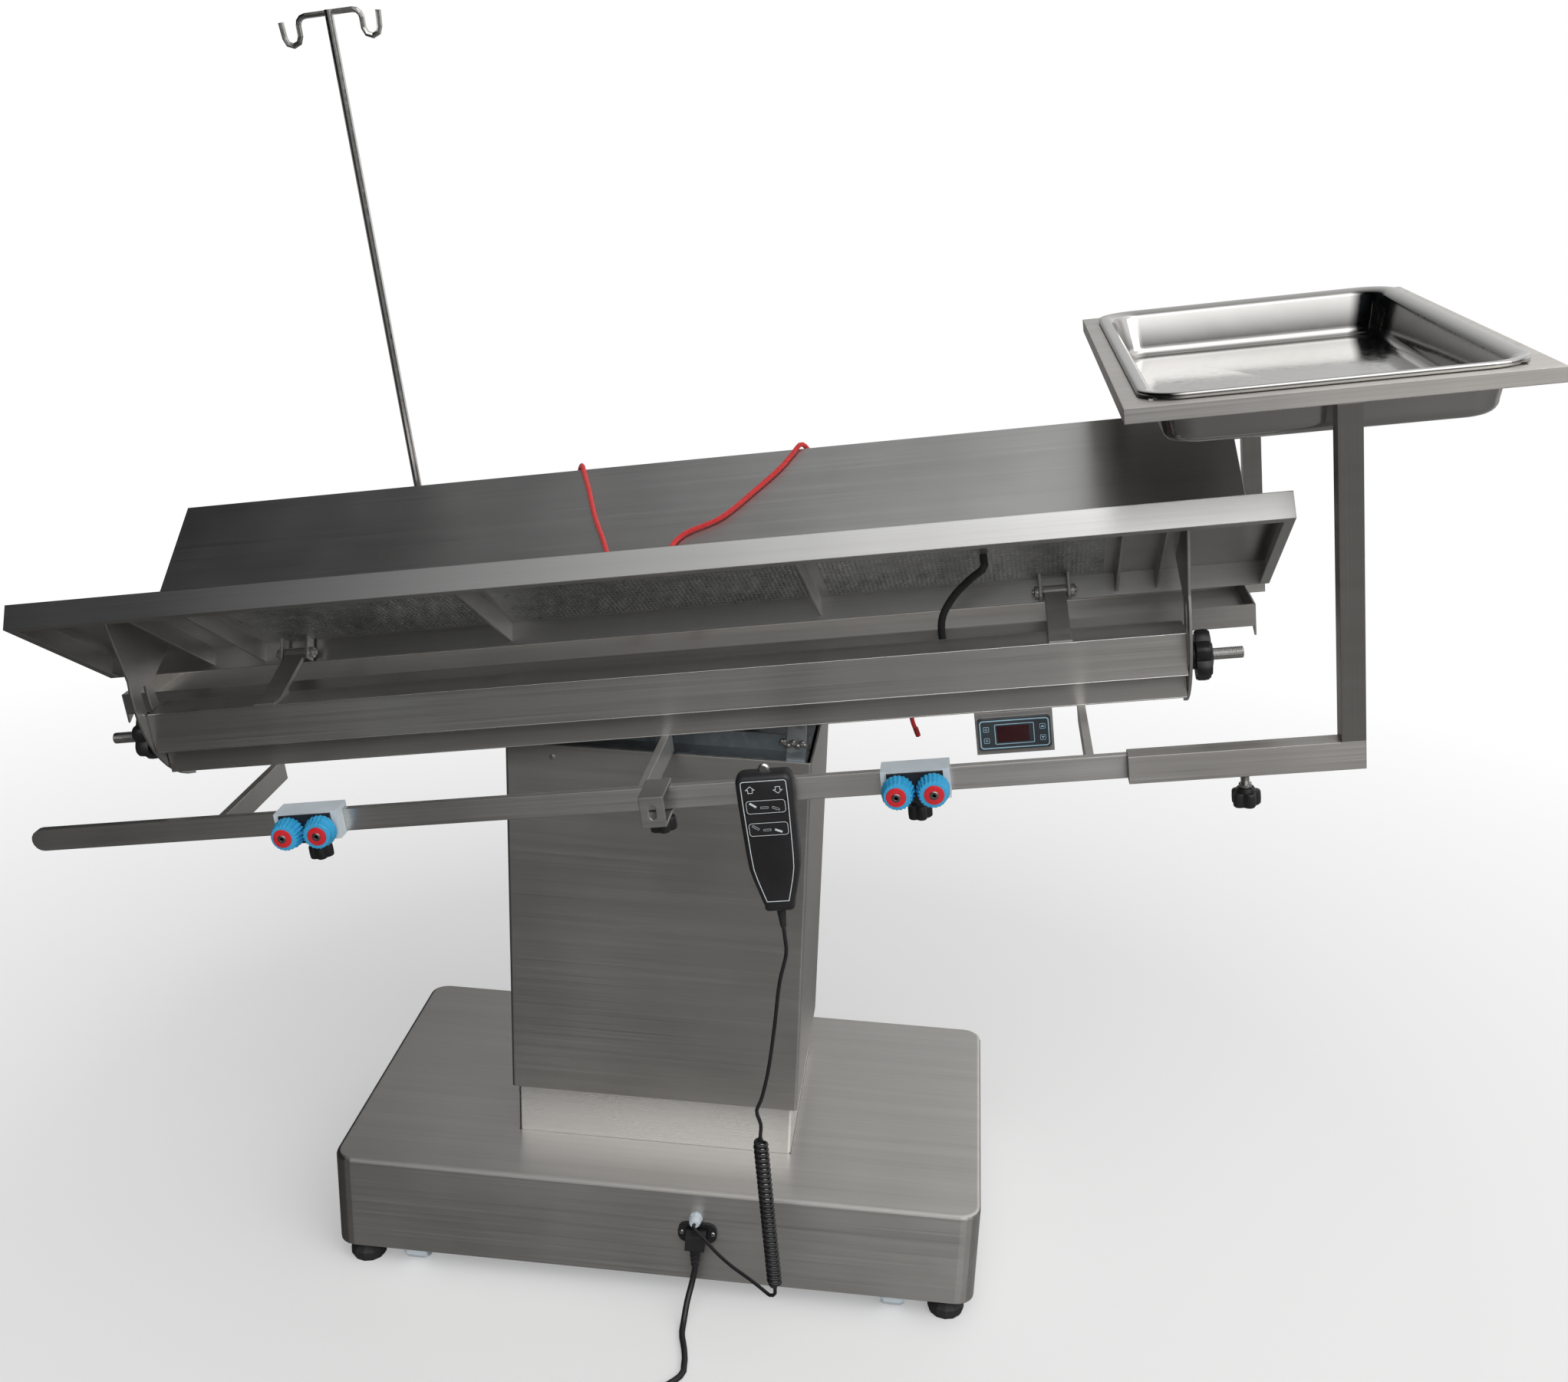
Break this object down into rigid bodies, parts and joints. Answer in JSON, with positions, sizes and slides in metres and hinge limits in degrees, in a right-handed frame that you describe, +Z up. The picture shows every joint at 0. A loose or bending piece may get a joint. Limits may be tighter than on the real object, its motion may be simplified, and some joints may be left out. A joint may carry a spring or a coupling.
{
  "type": "veterinary surgery table",
  "caption": "Stainless surgery table on a lifting, tilting column, with two folding top panels over a drain gutter, accessory rails, an instrument tray, a drip pole and a hand control.",
  "frame": {"origin": "centre of the table's outline at floor level, cords left out", "axes": "+X along the top towards the tray, +Y towards the drip pole, +Z up"},
  "size_m": [1.4822, 0.8548, 1.4036],
  "materials": {
    "brushed_stainless": "brushed stainless sheet and tube",
    "polished_stainless": "polished stainless",
    "galvanised_steel": "galvanised or grey-painted steel",
    "black_plastic": "satin moulded",
    "black_rubber": "matte",
    "white_nylon": "satin nylon",
    "blue_plastic": "moulded, toothed rim",
    "red_braid": "braided rope"
  },
  "bodies": {
    "base": {"base_cover": "brushed_stainless", "base_frame": "galvanised_steel", "power_inlet": "black_plastic", "mains_connector": "black_plastic", "inner_sleeve": "polished_stainless", "lift_actuator_body": "black_plastic", "mains_cord": "black_rubber", "mains_coil": "black_rubber", "mains_plug": "black_plastic", "handset_curl": "black_rubber"},
    "lift": {"outer_sleeve": "brushed_stainless", "channel_bracket": "galvanised_steel", "lift_actuator_rod": "polished_stainless", "tilt_drive": "black_plastic"},
    "table_frame": {"near_beam": "brushed_stainless", "far_beam": "brushed_stainless", "pivot_cradle": "galvanised_steel", "drain_gutter": "brushed_stainless", "front_rail": "brushed_stainless", "rear_rail": "brushed_stainless", "controller_housing": "brushed_stainless", "handset": "black_plastic", "handset_cord": "black_rubber", "panel_cable": "black_rubber", "rope_left": "red_braid", "rope_right": "red_braid"},
    "near_panel": {"near_panel": "brushed_stainless"},
    "far_panel": {"far_panel": "brushed_stainless"},
    "tray_stand": {"tray_stand": "brushed_stainless"},
    "tray": {"tray": "polished_stainless"},
    "tray_knob": {"tray_knob": "black_plastic"},
    "iv_pole": {"iv_pole": "polished_stainless"},
    "socket_clamp": {"socket_clamp": "brushed_stainless"},
    "socket_knob": {"socket_knob": "black_plastic"},
    "rear_left_cleat": {"rear_left_cleat": "white_nylon"},
    "rear_right_cleat": {"rear_right_cleat": "white_nylon"},
    "handset_lift_rocker": {"handset_lift_rocker": "black_plastic"},
    "handset_tilt_rocker": {"handset_tilt_rocker": "black_plastic"},
    "levelling_foot_front_left": {"levelling_foot_front_left": "black_rubber"},
    "levelling_foot_front_right": {"levelling_foot_front_right": "black_rubber"},
    "levelling_foot_rear_left": {"levelling_foot_rear_left": "black_rubber"},
    "levelling_foot_rear_right": {"levelling_foot_rear_right": "black_rubber"},
    "wheelset_front": {"wheelset_front": "white_nylon"},
    "wheelset_rear": {"wheelset_rear": "white_nylon"},
    "near_left_knob": {"near_left_knob": "black_plastic"},
    "near_right_knob": {"near_right_knob": "black_plastic"},
    "far_left_knob": {"far_left_knob": "black_plastic"},
    "far_right_knob": {"far_right_knob": "black_plastic"},
    "controller_key_set": {"controller_key_set": "black_plastic"},
    "controller_key_rest": {"controller_key_rest": "black_plastic"},
    "controller_key_up": {"controller_key_up": "black_plastic"},
    "controller_key_down": {"controller_key_down": "black_plastic"},
    "left_cleat": {"left_cleat_block": "white_nylon"},
    "left_cleat_cam_a": {"left_cleat_cam_a": "blue_plastic"},
    "left_cleat_cam_b": {"left_cleat_cam_b": "blue_plastic"},
    "left_cleat_knob": {"left_cleat_knob": "black_plastic"},
    "right_cleat": {"right_cleat_block": "white_nylon"},
    "right_cleat_cam_a": {"right_cleat_cam_a": "blue_plastic"},
    "right_cleat_cam_b": {"right_cleat_cam_b": "blue_plastic"},
    "right_cleat_knob": {"right_cleat_knob": "black_plastic"}
  },
  "joints": [
    {"name": "levelling_foot_front_left_turn", "type": "hinge", "parent": "base", "child": "levelling_foot_front_left", "pos_m": [-0.40307, -0.1805, 0], "axis": [0, 0, 1], "continuous": true},
    {"name": "levelling_foot_front_right_turn", "type": "hinge", "parent": "base", "child": "levelling_foot_front_right", "pos_m": [0.28493, -0.1805, 0], "axis": [0, 0, 1], "continuous": true},
    {"name": "levelling_foot_rear_left_turn", "type": "hinge", "parent": "base", "child": "levelling_foot_rear_left", "pos_m": [-0.40307, 0.1805, 0], "axis": [0, 0, 1], "continuous": true},
    {"name": "levelling_foot_rear_right_turn", "type": "hinge", "parent": "base", "child": "levelling_foot_rear_right", "pos_m": [0.28493, 0.1805, 0], "axis": [0, 0, 1], "continuous": true},
    {"name": "wheelset_front_roll", "type": "hinge", "parent": "base", "child": "wheelset_front", "pos_m": [-0.05907, -0.176, 0.0265], "axis": [1, 0, 0], "continuous": true},
    {"name": "wheelset_rear_roll", "type": "hinge", "parent": "base", "child": "wheelset_rear", "pos_m": [-0.05907, 0.176, 0.0265], "axis": [1, 0, 0], "continuous": true},
    {"name": "lift_slide", "type": "slide", "parent": "base", "child": "lift", "axis": [0, 0, 1], "range_m": [-0.055, 0.27], "deforming": ["handset_curl"]},
    {"name": "table_tilt", "type": "hinge", "parent": "lift", "child": "table_frame", "pos_m": [-0.07107, 0, 0.6612], "axis": [0, 1, 0], "range_deg": [-6.27, 23.73], "deforming": ["handset_cord"]},
    {"name": "near_panel_fold", "type": "hinge", "parent": "table_frame", "child": "near_panel", "pos_m": [-0.08002, -0.065, 0.77415], "axis": [0.9884, 0, 0.1518], "range_deg": [-12.37, 32.63], "deforming": ["panel_cable"]},
    {"name": "far_panel_fold", "type": "hinge", "parent": "table_frame", "child": "far_panel", "pos_m": [-0.08002, 0.065, 0.77415], "axis": [0.9884, 0, 0.1518], "range_deg": [-32.63, 12.37], "deforming": ["rope_left", "rope_right"]},
    {"name": "near_left_knob_turn", "type": "hinge", "parent": "table_frame", "child": "near_left_knob", "pos_m": [-0.63196, -0.1479, 0.63282], "axis": [0.9884, 0, 0.1518], "continuous": true},
    {"name": "near_right_knob_turn", "type": "hinge", "parent": "table_frame", "child": "near_right_knob", "pos_m": [0.4889, -0.1479, 0.80494], "axis": [0.9884, 0, 0.1518], "continuous": true},
    {"name": "far_left_knob_turn", "type": "hinge", "parent": "table_frame", "child": "far_left_knob", "pos_m": [-0.63196, 0.1479, 0.63282], "axis": [0.9884, 0, 0.1518], "continuous": true},
    {"name": "far_right_knob_turn", "type": "hinge", "parent": "table_frame", "child": "far_right_knob", "pos_m": [0.4889, 0.1479, 0.80494], "axis": [0.9884, 0, 0.1518], "continuous": true},
    {"name": "controller_key_set_press", "type": "slide", "parent": "table_frame", "child": "controller_key_set", "axis": [0, 1, 0], "range_m": [0, 0.0005], "stiffness_N_per_m": 300},
    {"name": "controller_key_rest_press", "type": "slide", "parent": "table_frame", "child": "controller_key_rest", "axis": [0, 1, 0], "range_m": [0, 0.0005], "stiffness_N_per_m": 300},
    {"name": "controller_key_up_press", "type": "slide", "parent": "table_frame", "child": "controller_key_up", "axis": [0, 1, 0], "range_m": [0, 0.0005], "stiffness_N_per_m": 300},
    {"name": "controller_key_down_press", "type": "slide", "parent": "table_frame", "child": "controller_key_down", "axis": [0, 1, 0], "range_m": [0, 0.0005], "stiffness_N_per_m": 300},
    {"name": "handset_lift_rocker_press", "type": "hinge", "parent": "table_frame", "child": "handset_lift_rocker", "pos_m": [0.07026, -0.3187, 0.67835], "axis": [-0.1518, 0, 0.9884], "range_deg": [-2.2, 2.2], "stiffness_Nm_per_rad": 0.4},
    {"name": "handset_tilt_rocker_press", "type": "hinge", "parent": "table_frame", "child": "handset_tilt_rocker", "pos_m": [0.07383, -0.3187, 0.65512], "axis": [-0.1518, 0, 0.9884], "range_deg": [-2.2, 2.2], "stiffness_Nm_per_rad": 0.4},
    {"name": "left_cleat_slide", "type": "slide", "parent": "table_frame", "child": "left_cleat", "axis": [0.9884, 0, 0.1518], "range_m": [-0.055, 0.2]},
    {"name": "left_cleat_cam_a_turn", "type": "hinge", "parent": "left_cleat", "child": "left_cleat_cam_a", "pos_m": [-0.41003, -0.325, 0.61067], "axis": [0, 1, 0], "range_deg": [-60, 0], "stiffness_Nm_per_rad": 0.02},
    {"name": "left_cleat_cam_b_turn", "type": "hinge", "parent": "left_cleat", "child": "left_cleat_cam_b", "pos_m": [-0.37445, -0.325, 0.61613], "axis": [0, 1, 0], "range_deg": [0, 60], "stiffness_Nm_per_rad": 0.02},
    {"name": "left_cleat_knob_turn", "type": "hinge", "parent": "left_cleat", "child": "left_cleat_knob", "pos_m": [-0.38742, -0.2924, 0.58202], "axis": [-0.1518, 0, 0.9884], "continuous": true},
    {"name": "right_cleat_slide", "type": "slide", "parent": "table_frame", "child": "right_cleat", "axis": [0.9884, 0, 0.1518], "range_m": [-0.07, 0.115]},
    {"name": "right_cleat_cam_a_turn", "type": "hinge", "parent": "right_cleat", "child": "right_cleat_cam_a", "pos_m": [0.19488, -0.325, 0.70356], "axis": [0, 1, 0], "range_deg": [-60, 0], "stiffness_Nm_per_rad": 0.02},
    {"name": "right_cleat_cam_b_turn", "type": "hinge", "parent": "right_cleat", "child": "right_cleat_cam_b", "pos_m": [0.23046, -0.325, 0.70902], "axis": [0, 1, 0], "range_deg": [0, 60], "stiffness_Nm_per_rad": 0.02},
    {"name": "right_cleat_knob_turn", "type": "hinge", "parent": "right_cleat", "child": "right_cleat_knob", "pos_m": [0.21749, -0.2924, 0.67491], "axis": [-0.1518, 0, 0.9884], "continuous": true},
    {"name": "socket_clamp_slide", "type": "slide", "parent": "table_frame", "child": "socket_clamp", "axis": [0.9884, 0, 0.1518], "range_m": [0, 0.06]},
    {"name": "socket_knob_turn", "type": "hinge", "parent": "socket_clamp", "child": "socket_knob", "pos_m": [-0.03401, -0.2924, 0.63629], "axis": [-0.1518, 0, 0.9884], "continuous": true},
    {"name": "tray_stand_slide", "type": "slide", "parent": "table_frame", "child": "tray_stand", "axis": [0.9884, 0, 0.1518], "range_m": [-0.028, 0.08]},
    {"name": "tray_lift_out", "type": "slide", "parent": "tray_stand", "child": "tray", "axis": [-0.1518, 0, 0.9884], "range_m": [0, 0.12]},
    {"name": "tray_knob_turn", "type": "hinge", "parent": "tray_stand", "child": "tray_knob", "pos_m": [0.52291, -0.2924, 0.72181], "axis": [-0.1518, 0, 0.9884], "continuous": true},
    {"name": "iv_pole_slide", "type": "slide", "parent": "table_frame", "child": "iv_pole", "axis": [0.9884, 0, 0.1518], "range_m": [-0.035, 0.002]},
    {"name": "rear_left_cleat_slide", "type": "slide", "parent": "table_frame", "child": "rear_left_cleat", "axis": [0.9884, 0, 0.1518], "range_m": [-0.003, 0.25]},
    {"name": "rear_right_cleat_slide", "type": "slide", "parent": "table_frame", "child": "rear_right_cleat", "axis": [0.9884, 0, 0.1518], "range_m": [-0.15, 0.115]}
  ]
}
